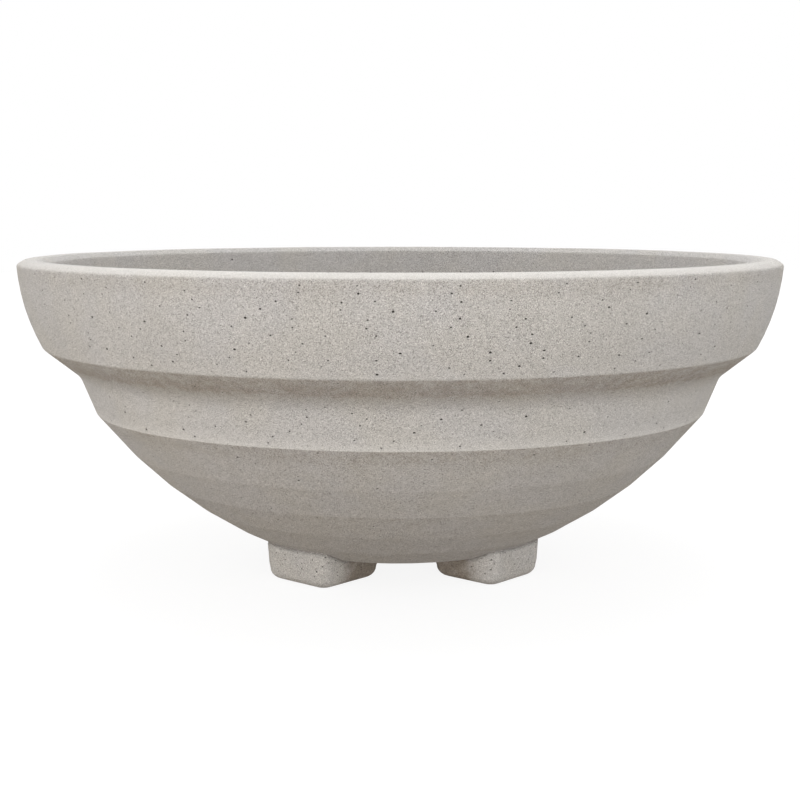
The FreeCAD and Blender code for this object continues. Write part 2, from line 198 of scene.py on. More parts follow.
def cast_concrete(name, paste, damp_and_shade=DAMP_AND_SHADE_TINT):
    material, bench = new_finish(name)
    fine, coarse = bench.noise(FINE_SAND), bench.noise(COARSE_SAND)
    clouds, drift, mottle = bench.noise(*CLOUDS), bench.noise(*DRIFT), bench.noise(*MOTTLE)
    grain = bench.node("SeparateColor", None, {"Color": bench.cells(GRAIN_CELLS, "Color")})
    pick = bench.node("SeparateColor", None, {"Color": bench.cells(PORE_CELLS, "Color")})
    away = bench.cells(PORE_CELLS, "Distance").ramp(*PORE_SIZE)
    pore = (1 - away) * pick.ramp(*PORE_PICK)
    cooler = tuple(a * b for a, b in zip(paste, COOL))
    tone = bench.mix(drift.ramp(*DRIFT_EDGES), paste, cooler)
    tone = bench.mix(grain.ramp(*PALE_PICK) * PALE_AMOUNT, tone, PALE_GRAIN)
    tone = bench.mix((1 - grain).ramp(*DARK_PICK) * DARK_AMOUNT, tone, DARK_GRAIN)
    sand = fine.swing(FINE_SWING) + coarse.swing(COARSE_SWING)
    tone = tone * (1 + sand + clouds.swing(CLOUD_SWING))
    tone = bench.mix(pore * PORE_AMOUNT, tone, DARK_GRAIN)
    # Chalk on rubbed edges, and the same chalk as painted highlight and painted light on lit edges
    # and hole lips.
    tone = bench.mix(bench.mark("worn_and_highlight"), tone, (1 + fine.swing(CHALK_AND_HIGHLIGHT_SWING)) * CHALK_AND_HIGHLIGHT)
    # Damp darkening and painted shade share one mask, made patchy by the mottle.
    darkening = bench.mark("damp_and_shade")
    patchy = darkening * (1 + mottle.swing(UNMARKED_MOTTLE - darkening * MOTTLE_LOST_DARKENED))
    tone = bench.mix(patchy, tone, tone * damp_and_shade)
    tone = bench.mix(bench.mark("pit").ramp(*PIT_EDGES), tone, HOLE_SHADE)
    height = fine * SAND_RELIEF + coarse * SAND_RELIEF + grain * GRAIN_RELIEF - pore
    relief = bench.bump(height, RELIEF_DEPTH)
    bench.feed(Base_Color=tone, Roughness=fine.span(*CONCRETE_ROUGH), Normal=relief)
    return material


concrete = cast_concrete("cast_concrete", PASTE)
print("finish:", concrete.name)

# %% [markdown]
# ## The outline of the bowl
# A bowl cast in a turned mould is one outline spun about its axis. The outline is given by its
# corners, each with the radius of its rounding, and is walked in small steps. The rim is bevelled
# on both edges. Behind the outside lies the hollow, one wall thickness in.

# %% Lines with rounded corners
ARC_PITCH = 0.45


def steps(start, end, pitch):
    """Points after start, up to and with end, in even steps of about the pitch."""
    count = max(1, round((end - start).length / pitch))
    return [start.lerp(end, k / count) for k in range(1, count + 1)]


def rounded(corners, pitch):
    """An open line through (x, y, rounding) corners: even steps, and finer ones on the arcs."""
    places = [Vector(corner[:2]) for corner in corners]
    line = [places[0]]
    for before, here, after, corner in zip(places, places[1:], places[2:], corners[1:]):
        back, on = (before - here).normalized(), (after - here).normalized()
        half = (math.pi - back.angle(on)) / 2
        radius = corner[2]
        line += steps(line[-1], here + back * radius * math.tan(half), pitch)
        if radius:
            centre = here + (back + on).normalized() * (radius / math.cos(half))
            arc_end = here + on * radius * math.tan(half)
            first, last = (line[-1] - centre).normalized(), (arc_end - centre).normalized()
            count = max(2, math.ceil(2 * half * radius / (ARC_PITCH * pitch)))
            line += [centre + first.slerp(last, k / count) * radius for k in range(1, count + 1)]
    return line + steps(line[-1], places[-1], pitch)


def bow(start, end, radius, count):
    """Corners on an arc from start to end that bulges away from the axis."""
    low, high = sorted((Vector(start), Vector(end)), key=lambda spot: spot.y)
    along = (high - low).normalized()
    half = (high - low).length / 2
    centre = (low + high) / 2 + Vector((-along.y, along.x)) * math.sqrt(radius**2 - half**2)
    first, last = (Vector(start) - centre).normalized(), (Vector(end) - centre).normalized()
    return [(*(centre + first.slerp(last, k / count) * radius), 0) for k in range(1, count)]


print("line tools ready")

# %% Corners of the outside
RIM_RADIUS, WALL, CLEARANCE, FLOOR_THICKNESS = 0.4572, 0.038, 0.0305, 0.040
BEVEL_ACROSS, BEVEL_DOWN, BEVEL_ROUND = 0.0085, 0.0053, 0.0032
BAND_HEIGHT, BAND_DRAW, BAND_BULGE = 0.1017, 0.0267, 0.239
LEDGE_WIDTH, LEDGE_DROP = 0.0415, 0.0336
WAIST_HEIGHT, WAIST_DRAW = 0.0452, 0.0179
FACET_WIDTHS, FIRST_SLOPE, FACET_TURN = (0.0645, 0.0515, 0.0515, 0.0515, 0.0515), 49.35, 5.75
STEP_ROUND, LEDGE_ROUND, WAIST_ROUND, CREASE_ROUND = 0.011, 0.028, 0.005, 0.03
DRAIN_RADIUS, DRAIN_ROUND = 0.01685, 0.0015
OUTSIDE_PITCH, BAND_STEPS = 0.0080, 6

slopes = [math.radians(FIRST_SLOPE - i * FACET_TURN) for i in range(len(FACET_WIDTHS))]
waist_z = CLEARANCE + sum(width * math.sin(slope) for width, slope in zip(FACET_WIDTHS, slopes))
creases = [(RIM_RADIUS - BAND_DRAW - LEDGE_WIDTH - WAIST_DRAW, waist_z)]
for width, slope in zip(FACET_WIDTHS, slopes):
    r, z = creases[-1]
    creases.append((r - width * math.cos(slope), z - width * math.sin(slope)))
waist, base = creases[0], creases[-1]
ledge = (waist[0] + WAIST_DRAW, waist_z + WAIST_HEIGHT)
step = (ledge[0] + LEDGE_WIDTH, ledge[1] + LEDGE_DROP)
rim_z = step[1] + BAND_HEIGHT
rim_side = (RIM_RADIUS, rim_z - BEVEL_DOWN)
rim_middle = (RIM_RADIUS - WALL / 2, rim_z, 0)
drain_middle = (DRAIN_RADIUS, CLEARANCE + FLOOR_THICKNESS / 2, 0)

outside = [drain_middle, (DRAIN_RADIUS, CLEARANCE, DRAIN_ROUND), (*base, CREASE_ROUND / 2)]
outside += [(*crease, CREASE_ROUND) for crease in creases[-2:0:-1]]
outside += [(*waist, WAIST_ROUND), (*ledge, LEDGE_ROUND), (*step, STEP_ROUND)]
outside += bow(step, rim_side, BAND_BULGE, BAND_STEPS)
outside += [(*rim_side, BEVEL_ROUND), (RIM_RADIUS - BEVEL_ACROSS, rim_z, BEVEL_ROUND), rim_middle]
outside_line = rounded(outside, OUTSIDE_PITCH)
print("rim height", round(rim_z, 4), "base radius", round(base[0], 4), "points", len(outside_line))

# %% Corners of the hollow
HOLLOW_ROUND, HOLLOW_BULGE = 0.022, 0.4754
HOLLOW_PITCH, HOLLOW_STEPS, BELOW_LIP = 0.012, 9, 0.05
band_tilt = math.atan(BAND_DRAW / BAND_HEIGHT)
ledge_tilt = math.pi / 2 - math.atan(LEDGE_DROP / LEDGE_WIDTH)
waist_tilt = math.atan(WAIST_DRAW / WAIST_HEIGHT)


def behind(corner, upper, lower):
    """The point one wall behind a corner whose two faces lean out by the given tilts."""
    share = WALL / (1 + math.cos(upper - lower))
    r = corner[0] - (math.cos(upper) + math.cos(lower)) * share
    return r, corner[1] + (math.sin(upper) + math.sin(lower)) * share


lip = RIM_RADIUS - WALL
step_in = behind(step, band_tilt, ledge_tilt)
ledge_in = behind(ledge, ledge_tilt, waist_tilt)
waist_in = behind(waist, waist_tilt, math.pi / 2 - slopes[0])
floor_z = CLEARANCE + FLOOR_THICKNESS
base_in = (behind(base, math.pi / 2 - slopes[-1], math.pi / 2)[0], floor_z)
lip_low = (lip, rim_z - BEVEL_DOWN)
hollow = [rim_middle, (lip + BEVEL_ACROSS, rim_z, BEVEL_ROUND), (*lip_low, BEVEL_ROUND)]
hollow += [(*Vector(lip_low).lerp(Vector(step_in), BELOW_LIP), 0)]
hollow += [(*spot, HOLLOW_ROUND) for spot in (step_in, ledge_in, waist_in)]
hollow += bow(waist_in, base_in, HOLLOW_BULGE, HOLLOW_STEPS)
hollow += [(*base_in, HOLLOW_ROUND), (DRAIN_RADIUS, floor_z, DRAIN_ROUND), drain_middle]
hollow_line = rounded(hollow, HOLLOW_PITCH)
print("hollow floor at", round(floor_z, 4), "points", len(hollow_line))

# %% [markdown]
# ## Air holes
# When concrete is poured, small bubbles stay against the mould and leave round holes. A painted
# dot looks flat from the side, so each hole is real: one face of the mesh is opened, and rings
# of small faces go down into the wall. Inside, a hole is painted dark as shade, and its lower lip
# is painted pale as a highlight. A ring is given by its width and depth, both in radii of the
# hole, and by how dark its painted shade is.

# %% Skins with air holes
HOLE_RINGS = ((1.4, 0.0, 0.0), (1.0, 0.14, 0.7), (0.65, 1.2, 1.0))
RING_POINTS, FIRST_CORNER = 8, math.radians(225)
SMALLEST_HOLE, HOLE_SPREAD, LARGEST_HOLE = 0.0008, 0.0002, 0.0014
HOLE_ROOM, CLUMPING, OFF_MIDDLE, MOST_SQUASHED = 3.2, 3, (0.4, 0.6), 0.25
# A hole's lower lip gets less painted shade and a painted highlight.
LIT_LIP_SHADE_LIFT, LIT_LIP_HIGHLIGHT = 0.6, 0.7
WAVES, RIPPLES = (9.0, 0.00030), (48.0, 0.00014)


class Skin:
    """Points and faces of a casting. Masks for its finish are kept for every point."""

    def __init__(self, seed):
        self.points = []
        self.faces = []
        self.masks = {"pit": [], "damp_and_shade": [], "worn_and_highlight": []}
        self.chance = random.Random(seed)
        self.holes = 0

    def point(self, place, pit=0.0, damp_and_shade=0.0, worn_and_highlight=0.0):
        self.points.append(Vector(place))
        for mask, value in zip(self.masks.values(), (pit, damp_and_shade, worn_and_highlight)):
            mask.append(value)
        return len(self.points) - 1

    def hole(self, quad, radius):
        """Opens a face and sinks a round hole near its middle."""
        a, b, c, d = (self.points[i] for i in quad)
        u, v = self.chance.uniform(*OFF_MIDDLE), self.chance.uniform(*OFF_MIDDLE)
        middle = a.lerp(b, u).lerp(d.lerp(c, u), v)
        across, up = (b + c - a - d).normalized(), (c + d - a - b).normalized()
        inward = up.cross(across).normalized()
        lean, flat = self.chance.uniform(0, math.pi), self.chance.uniform(0, MOST_SQUASHED)
        damp_and_shade = self.masks["damp_and_shade"][quad[0]]
        rings = []
        for width, depth, pit in HOLE_RINGS:
            ring = []
            for k in range(RING_POINTS):
                angle = FIRST_CORNER + k * math.tau / RING_POINTS
                size = radius * width * (1 - flat * math.cos(angle - lean) ** 2)
                place = middle + (across * math.cos(angle) + up * math.sin(angle)) * size
                # The lower half of the middle ring is painted pale as a highlight, as if lit from
                # above.
                lit_lip = max(0.0, -math.sin(angle)) if 0 < pit < 1 else 0.0
                place += inward * depth * radius
                ring.append(self.point(place, pit - LIT_LIP_SHADE_LIFT * lit_lip, damp_and_shade, LIT_LIP_HIGHLIGHT * lit_lip))
            rings.append(ring)
        for k in range(4):
            edge = [rings[0][(2 * k + i) % RING_POINTS] for i in (2, 1, 0)]
            self.faces.append((quad[k], quad[(k + 1) % 4], *edge))
        for outer, inner in zip(rings, rings[1:]):
            for k in range(RING_POINTS):
                n = (k + 1) % RING_POINTS
                self.faces.append((outer[k], outer[n], inner[n], inner[k]))
        self.faces.append(tuple(rings[-1]))
        self.holes += 1

    def wall(self, rows, density=lambda place: 0.0):
        """Faces from ring to ring, with holes at a density per square metre, in loose clumps."""
        due = 0.0
        for low, high in zip(rows, rows[1:]):
            for k in range(len(low)):
                n = (k + 1) % len(low)
                quad = (low[k], low[n], high[n], high[k])
                a, b, d = (self.points[quad[i]] for i in (0, 1, 3))
                wide, tall = (b - a).length, (d - a).length
                radius = min(SMALLEST_HOLE + self.chance.expovariate(1 / HOLE_SPREAD), LARGEST_HOLE)
                luck = self.chance.random() ** CLUMPING
                due += density((b + d) / 2) * wide * tall * (CLUMPING + 1) * luck
                if due > 1 and min(wide, tall) > HOLE_ROOM * radius:
                    self.hole(quad, radius)
                    due = 0.0
                else:
                    self.faces.append(quad)

    def cap(self, ring):
        self.faces.append(tuple(ring))

    def build(self, name, finish, node, body="planter"):
        """Makes the piece. It takes the place of a node of the solids and moves with its body."""
        mesh = bpy.data.meshes.new(name)
        mesh.from_pydata(self.points, [], self.faces)
        for mask, values in self.masks.items():
            mesh.attributes.new(mask, "FLOAT", "POINT").data.foreach_set("value", values)
        mesh.polygons.foreach_set("use_smooth", [True] * len(mesh.polygons))
        mesh.materials.append(finish)
        piece = bpy.data.objects.new(name, mesh)
        bpy.context.collection.objects.link(piece)
        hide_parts(node)
        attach(piece, body)
        triangles = sum(len(face) - 2 for face in self.faces)
        print(name, "holes", self.holes, "triangles", triangles)


def uneven(place):
    """How far a cast face is out of true at a place, by slow waves and small ripples."""
    return sum(noise.noise(place * scale) * depth for scale, depth in (WAVES, RIPPLES))


def fade(mark, distance):
    """A mark of (amount, faded, full): none at the faded distance, its amount at the full one."""
    amount, faded, full = mark
    share = min(1.0, max(0.0, (distance - faded) / (full - faded)))
    return amount * share * share * (3 - 2 * share)


print("skin ready")

# %% [markdown]
# ## The bowl
# The outline is spun in one-degree steps. Each point moves a little along its own normal, since
# no mould is true. Holes are strewn by chance: thickest on the upright bands, where bubbles
# climb the mould, thinner on the lower bowl and inside, and none on the rim. The hollow is
# painted darker, and painted shade lies under the ledge and on the facets, with a painted shadow
# under the waist and each crease. The rim is rubbed pale, with a painted highlight towards the
# front, and painted highlights and painted light lie on the lower edges of band, waist and
# facets and on the waist's face. Each of these marks has an amount and two distances: where it
# has faded, and where it is full.

# %% Holes, damp, painted shade, wear and painted highlights on the bowl
HOLES_PER_M2 = ((rim_side[1], 0), (step[1], 1900), (ledge[1], 500), (waist_z, 1500), (0.0, 900))
HOLLOW_HOLES, PLAIN_MIDDLE = 60, 0.5
# Painted shade on the facets, more on the lower ones, and painted shadow under waist and creases.
HOLLOW_DARKENING, FACET_SHADE = 0.13, (0.15, 0.14, 0.22, 0.20, 0.22)
WAIST_EDGE_SHADOW, CREASE_SHADOW = (0.19, 0.023, 0.010), (0.07, 0.012, 0.001)
# Painted shade on the underside of the ledge.
LEDGE_SHADE, LEDGE_CORNER_SHADE, LEDGE_SHADE_START = 0.54, (0.18, 0.030, 0.016), (1.0, 0.006, 0.0155)
RUN_OFF, RUN_OFF_DROP = (0.17, 0.014, 0.004), 0.007
# Painted highlights on the lower edges of waist and facets, painted light on the waist's face and
# band's lower edge.
WAIST_EDGE_HIGHLIGHT, WAIST_HIGHLIGHT_RISE = (0.45, 0.008, 0.001), 0.003
WAIST_FACE_LIGHT, CREASE_HIGHLIGHT = (0.08, 0.004, 0.012), (0.07, 0.009, 0.001)
BAND_EDGE_LIGHT = (0.16, 0.012, 0.004)
# The rim's bevel is rubbed pale all round, with a painted highlight added towards the front.
RIM_RUB_AND_HIGHLIGHT, RIM_RUB_ROUND, RIM_FRONT_HIGHLIGHT = (1.0, -0.001, 0.002), 0.35, 0.5
waist_edge, band_edge = waist_z - 0.0003, step[1] - 0.001
hollow_marks, hollow_near = hollow_line[::4], WALL / 3


def bowl_holes(place):
    r, z = place.xy.length, place.z
    if r < base[0] * PLAIN_MIDDLE:
        return 0
    if min((Vector((r, z)) - spot).length for spot in hollow_marks) < hollow_near:
        return HOLLOW_HOLES
    return next(count for low, count in HOLES_PER_M2 if z >= low)


def at_creases(mark, z, side):
    """A mark above each crease between two facets (side 1) or below it (side -1)."""
    gaps = (side * (z - crease_z) for r, crease_z in creases[1:-1])
    return max((fade(mark, gap) for gap in gaps if gap >= 0), default=0.0)


def facet_shade(z):
    """Painted shade on the facets, more on the lower ones, and painted shadow under each edge."""
    facet = next((i for i, (r, low) in enumerate(creases[1:]) if z > low), len(FACET_SHADE) - 1)
    return FACET_SHADE[facet] + fade(WAIST_EDGE_SHADOW, waist_z - z) + at_creases(CREASE_SHADOW, z, -1)


def bowl_damp_and_shade(z, outer):
    """The darker hollow, painted shade on the lower bowl and ledge, and a run-off line below the
    rim.
    """
    if not outer:
        # The hollow is painted darker below the rim.
        return HOLLOW_DARKENING * (z < rim_side[1])
    if z < waist_edge:
        # Below the waist: painted shade on the facets.
        return facet_shade(z)
    above = z - ledge[1]
    # Painted shade on the ledge, under the overhang of the step.
    ledge_shade = (LEDGE_SHADE + fade(LEDGE_CORNER_SHADE, above)) * fade(LEDGE_SHADE_START, above)
    return ledge_shade * (z < band_edge) + fade(RUN_OFF, abs(rim_side[1] - RUN_OFF_DROP - z))


def bowl_highlights(z, outer):
    """Painted highlights on the lower edges of facets, waist and band, and painted light on the
    waist.
    """
    if not outer:
        return 0.0
    if z < waist_edge:
        # Painted highlight on each facet just above its crease.
        return at_creases(CREASE_HIGHLIGHT, z, 1)
    # Painted highlight along the waist's lower edge, and painted light on its face.
    waist_highlight = fade(WAIST_EDGE_HIGHLIGHT, abs(z - waist_z - WAIST_HIGHLIGHT_RISE))
    waist_highlight += fade(WAIST_FACE_LIGHT, ledge[1] - z)
    return waist_highlight + fade(BAND_EDGE_LIGHT, z - step[1]) * (z >= step[1])


def rim_rub_and_highlight(z, outer, front):
    """The rim's bevel, rubbed pale all round, with a painted highlight added towards the front."""
    return outer * (RIM_RUB_ROUND + RIM_FRONT_HIGHLIGHT * front) * fade(RIM_RUB_AND_HIGHLIGHT, z - rim_side[1])


print("marks ready for", len(FACET_SHADE), "facets, waist, ledge and band")

# %% Spin the bowl
COLUMNS = 360


def spin_bowl():
    skin = Skin(seed=5)
    line = outside_line[:-1] + hollow_line[:-1]
    rows = []
    for i, (r, z) in enumerate(line):
        along = (line[(i + 1) % len(line)] - line[i - 1]).normalized()
        outer = i < len(outside_line)
        damp_and_shade, edge_highlight = bowl_damp_and_shade(z, outer), bowl_highlights(z, outer)
        row = []
        for k in range(COLUMNS):
            spoke = Vector((math.cos(math.tau * k / COLUMNS), math.sin(math.tau * k / COLUMNS), 0))
            place = spoke * r + Vector((0, 0, z))
            place += (spoke * along.y - Vector((0, 0, along.x))) * uneven(place)
            # The rim's rubbed paleness, with a painted highlight towards the front.
            worn_and_highlight = edge_highlight + rim_rub_and_highlight(z, outer, max(0.0, -spoke.y))
            row.append(skin.point(place, 0.0, damp_and_shade, worn_and_highlight))
        rows.append(row)
    skin.wall(rows + rows[:1], bowl_holes)
    skin.build("bowl", concrete, "bowl_shell")


spin_bowl()

# %% [markdown]
# ## The feet
# Each foot is a square block with a little draft, soft corners and a rounded sole. Cast by hand,
# no two are quite the same width. The top is cut to the sloping underside, one thin joint below
# it. Rings of points climb from the middle of the sole to that cut, so that the same air holes
# can be opened in the sides. The feet come from a mix of their own, a shade darker, and the faces
# that look under the bowl are painted darker as shade.

# %% Cast the feet
FEET = {
    "front_left": (225, 0.0970),
    "front_right": (315, 0.0925),
    "rear_right": (45, 0.0945),
    "rear_left": (135, 0.0945),
}
FOOT_CIRCLE, FOOT_DRAFT = 0.138, math.radians(3.0)
FOOT_CORNER, SOLE_ROUND, JOINT = 0.014, 0.013, 0.002
SOLE_CORNER, CORNER_TIGHTENS, CUT_REACH = 0.1, 0.5, 1.07
SOLE_RINGS, SIDE_RINGS, TOP_RINGS = (0.2, 0.6), (0.2, 0.4, 0.6, 0.8, 1.0), (0.7, 0.2)
SIDE_POINTS, CORNER_POINTS, SOLE_SWING = 24, 6, range(0, 91, 15)
FOOT_HOLES, FOOT_UNEVEN = 9000, 1.5
# The second tint and the last mark paint shade on the faces that look under the bowl.
FOOT_PASTE, FOOT_SHADE_TINT, UNDER_BOWL_SHADE = (0.455, 0.433, 0.405), (0.46, 0.41, 0.36), (1.0, 0.176, 0.140)
foot_concrete = cast_concrete("foot_concrete", FOOT_PASTE, FOOT_SHADE_TINT)


def underside(spot):
    """Height of the bowl's underside above a spot on the floor."""
    r = spot.length
    for (r1, z1), (r0, z0) in zip(creases, creases[1:]):
        if r0 < r <= r1:
            return z0 + (z1 - z0) * (r - r0) / (r1 - r0)
    return CLEARANCE


def soft_square(half, corner):
    """Points round a square with rounded corners, as many for every size."""
    spots = []
    flat = half - corner
    for quarter in range(4):
        turn = Matrix.Rotation(math.radians(90 * quarter), 2)
        side = [Vector((half, -flat + 2 * flat * k / SIDE_POINTS)) for k in range(SIDE_POINTS)]
        arc = (math.radians(90 * k / CORNER_POINTS) for k in range(CORNER_POINTS))
        side += [Vector((flat + corner * math.cos(a), flat + corner * math.sin(a))) for a in arc]
        spots += [turn @ spot for spot in side]
    return spots


def foot_place(azimuth):
    """The middle of a foot, and the turn that sets its sides along and across the spoke."""
    angle = math.radians(azimuth)
    return Vector((math.cos(angle), math.sin(angle))) * FOOT_CIRCLE, Matrix.Rotation(angle, 2)


def foot_rings(top, half):
    """Rings of (flat spot, height) from the middle of the sole, up the sides, over the cut top."""
    sole = half - SOLE_ROUND
    rings = []
    for share in SOLE_RINGS:
        square = soft_square(sole * share, sole * share * SOLE_CORNER)
        rings.append([(spot, 0.0) for spot in square])
    for degrees in SOLE_SWING:
        swing = math.radians(degrees)
        reach = sole + SOLE_ROUND * math.sin(swing)
        corner = FOOT_CORNER - CORNER_TIGHTENS * SOLE_ROUND * (1 - math.sin(swing))
        height = SOLE_ROUND * (1 - math.cos(swing))
        rings.append([(spot, height) for spot in soft_square(reach, corner)])
    edge = soft_square(half, FOOT_CORNER)
    for share in SIDE_RINGS:
        ring = []
        for spot in edge:
            height = SOLE_ROUND + (top(spot * CUT_REACH) - SOLE_ROUND) * share
            spread = spot * (1 + height * math.tan(FOOT_DRAFT) / half)
            ring.append((spread, min(height, top(spread))))
        rings.append(ring)
    return rings + [[(spot * share, top(spot * share)) for spot in edge] for share in TOP_RINGS]


def cast_foot(side, azimuth, width):
    skin = Skin(seed=azimuth)
    middle, turn = foot_place(azimuth)
    rows = []
    for ring in foot_rings(lambda spot: underside(middle + turn @ spot) - JOINT, width / 2):
        row = []
        for flat, z in ring:
            spot = middle + turn @ flat
            place = Vector((*spot, z))
            if z > 0:
                place += (turn @ flat).to_3d().normalized() * uneven(place) * FOOT_UNEVEN
            # Faces nearest the middle, under the bowl, are painted darker as shade.
            row.append(skin.point(place, 0.0, fade(UNDER_BOWL_SHADE, spot.length)))
        rows.append(row)
    skin.wall(rows, lambda place: FOOT_HOLES if place.z > SOLE_ROUND else 0)
    skin.cap(reversed(rows[0]))
    skin.cap(rows[-1])
    skin.build(f"{side}_block", foot_concrete, f"{side}_foot")


for side, (azimuth, width) in FEET.items():
    cast_foot(side, azimuth, width)

# %% [markdown]
# ## The mortar joints
# A foot is bedded in mortar so that it carries over its whole top. The mason rakes the joint
# back a little with a pointing tool. The mortar is painted dark, a painted shade that reads as a
# thin contact line under the bowl. A ring of the joint is given by its share of the foot's width
# and its drop below the bowl.

# %% Lay the joints
# The mortar's dark colour is also painted shade: it reads as a contact line under the bowl.
RAKE, MORTAR_AND_CONTACT_SHADE = 0.0002, (0.27, 0.25, 0.23)
JOINT_RINGS = ((0.2, JOINT), (1.0, JOINT), (0.998, JOINT / 2), (1.0, 0.0), (0.2, 0.0))
mortar = cast_concrete("raked_mortar", MORTAR_AND_CONTACT_SHADE)


def lay_joint(side, azimuth, width):
    skin = Skin(seed=azimuth)
    middle, turn = foot_place(azimuth)
    edge = soft_square(width / 2, FOOT_CORNER)
    rows = []
    for share, drop in JOINT_RINGS:
        row = []
        for flat in edge:
            height = underside(middle + turn @ flat)
            spread = 1 + (height * math.tan(FOOT_DRAFT) - RAKE) / (width / 2)
            spot = middle + turn @ (flat * spread * share)
            row.append(skin.point((*spot, underside(spot) - drop)))
        rows.append(row)
    skin.wall(rows)
    skin.cap(reversed(rows[0]))
    skin.cap(rows[-1])
    skin.build(f"{side}_joint", mortar, f"{side}_bed")


for side, (azimuth, width) in FEET.items():
    lay_joint(side, azimuth, width)

# %% [markdown]
# ## The drain
# A short piece of grey pipe with a collar is cast into the floor as a drain, and a moulded rubber
# stopper closes it. Both are turned from outlines like the bowl. The pipe shows the fine streaks
# of drawing along its length, the rubber a dull bloom.

# %% Pipe and rubber finishes
PIPE_GREY, PIPE_STREAK = (0.22, 0.23, 0.24), (0.28, 0.29, 0.30)
STREAKS, SMEAR, SMEAR_AMOUNT = (900.0, 2.0, (1, 1, 0.02)), (120.0, 3.0), 0.7
RUBBER_BLACK, RUBBER_BLOOM = (0.022, 0.022, 0.024), (0.085, 0.083, 0.080)
RUBBER_SKIN, BLOOM = (1500.0, 2.0), (90.0, 4.0)
STREAK_EDGES, SMEAR_EDGES, BLOOM_EDGES = (0.3, 0.7), (0.52, 0.72), (0.42, 0.72)
PIPE_ROUGH, RUBBER_ROUGH, MOULD_RELIEF = (0.38, 0.68), (0.6, 0.9), 0.0002


def drawn_pipe():
    material, bench = new_finish("drawn_pipe")
    streaks, smear = bench.noise(*STREAKS), bench.noise(*SMEAR)
    tone = bench.mix(streaks.ramp(*STREAK_EDGES), PIPE_GREY, PIPE_STREAK)
    tone = bench.mix(smear.ramp(*SMEAR_EDGES) * SMEAR_AMOUNT, tone, PASTE)
    relief = bench.bump(streaks, MOULD_RELIEF)
    bench.feed(Base_Color=tone, Roughness=smear.span(*PIPE_ROUGH), Normal=relief)
    return material


def moulded_rubber():
    material, bench = new_finish("moulded_rubber")
    skin, bloom = bench.noise(*RUBBER_SKIN), bench.noise(*BLOOM)
    tone = bench.mix(bloom.ramp(*BLOOM_EDGES), RUBBER_BLACK, RUBBER_BLOOM)
    relief = bench.bump(skin, MOULD_RELIEF)
    bench.feed(Base_Color=tone, Roughness=bloom.span(*RUBBER_ROUGH), Normal=relief)
    return material


pipe, rubber = drawn_pipe(), moulded_rubber()
print("finishes:", pipe.name, rubber.name)

# %% [markdown]
# Small pieces are easier to give in millimetres. The sleeve and the stopper are lines of radius
# and height. The tab of the stopper is an outline about its eye, and its section runs round from
# the eye (0) to the outline (1), from one face to the other.

# %% Turn the sleeve and the stopper
MM = 0.001
BORE, PIPE_SIDE, COLLAR = 13.3, 16.7, 30.7
PIPE_FOOT, COLLAR_FOOT, COLLAR_TOP, PIPE_TOP = 30.5, 48, 53, 70.5
SLEEVE = (
    (BORE, PIPE_FOOT), (PIPE_SIDE, PIPE_FOOT), (PIPE_SIDE, COLLAR_FOOT), (COLLAR, COLLAR_FOOT),
    (COLLAR, COLLAR_TOP), (PIPE_SIDE, COLLAR_TOP), (PIPE_SIDE, PIPE_TOP), (BORE, PIPE_TOP),
)
SLEEVE_START, SLEEVE_ROUND, SLEEVE_PITCH = (BORE, 50.0, 0), 0.6, 3.0
STOPPER = (
    (0.5, 40.5, 0), (12.1, 40.5, 2), (12.85, 70.4, 0.4),
    (24.7, 70.6, 0.8), (24.7, 76.5, 2), (0.5, 76.5, 0),
)
STOPPER_PITCH, GRIP_PITCH, SECTION_PITCH, TURNED_COLUMNS = 1.6, 1.2, 0.5, 72
GRIP = ((0, -15.5, 0), (10, -15.5, 2), (10, 10, 7), (-10, 10, 7), (-10, -15.5, 2), (0, -15.5, 0))
EYE_HEIGHT, EYE_RADIUS, GRIP_HALF, GRIP_ROUND = 88.5, 4.5, 3.0, 1.4
GRIP_SECTION = (
    (0.5, GRIP_HALF, 0), (1, GRIP_HALF, 0), (1, -GRIP_HALF, 0),
    (0, -GRIP_HALF, 0), (0, GRIP_HALF, 0), (0.5, GRIP_HALF, 0),
)


def turned(skin, line):
    """Rings of points about the upright axis for a line of (radius, height) in millimetres."""
    rows = []
    for r, z in line:
        row = []
        for k in range(TURNED_COLUMNS):
            angle = math.tau * k / TURNED_COLUMNS
            row.append(skin.point((r * MM * math.cos(angle), r * MM * math.sin(angle), z * MM)))
        rows.append(row)
    return rows


def turn_sleeve():
    skin = Skin(seed=1)
    corners = [(*corner, SLEEVE_ROUND) for corner in SLEEVE]
    line = rounded([SLEEVE_START, *corners, SLEEVE_START], SLEEVE_PITCH)
    rows = turned(skin, line[:-1])
    skin.wall(rows + rows[:1])
    skin.build("drain_pipe", pipe, "drain_sleeve")


def mould_stopper():
    """The stopper's turned body, and its pull tab as loops about the eye."""
    skin = Skin(seed=2)
    rows = turned(skin, rounded(STOPPER, STOPPER_PITCH))
    skin.wall(rows)
    skin.cap(reversed(rows[0]))
    skin.cap(rows[-1])
    soft = GRIP_HALF - GRIP_ROUND
    loops = []
    for share, depth in rounded(GRIP_SECTION, SECTION_PITCH)[:-1]:
        loop = []
        over = max(0.0, abs(depth) - soft)
        pull = GRIP_ROUND - math.sqrt(max(0.0, GRIP_ROUND**2 - over**2))
        for spot in rounded(GRIP, GRIP_PITCH)[:-1]:
            out = spot.normalized()
            inner, outer = EYE_RADIUS + pull, spot.length - pull
            reach = out * (inner + (outer - inner) * share)
            loop.append(skin.point((reach.x * MM, -depth * MM, (EYE_HEIGHT + reach.y) * MM)))
        loops.append(loop)
    skin.wall(loops + loops[:1])
    skin.build("stopper_rubber", rubber, "drain_plug", "stopper")


turn_sleeve()
mould_stopper()

# %% [markdown]
# ## The steel
# The bars lie inside the concrete and the dowels inside the feet, so their solids are kept as
# they are. They still get a true finish, for anyone who takes the planter apart: bars from the
# mill are blue-grey with brown rust, and dowels of stainless rod are brushed round.

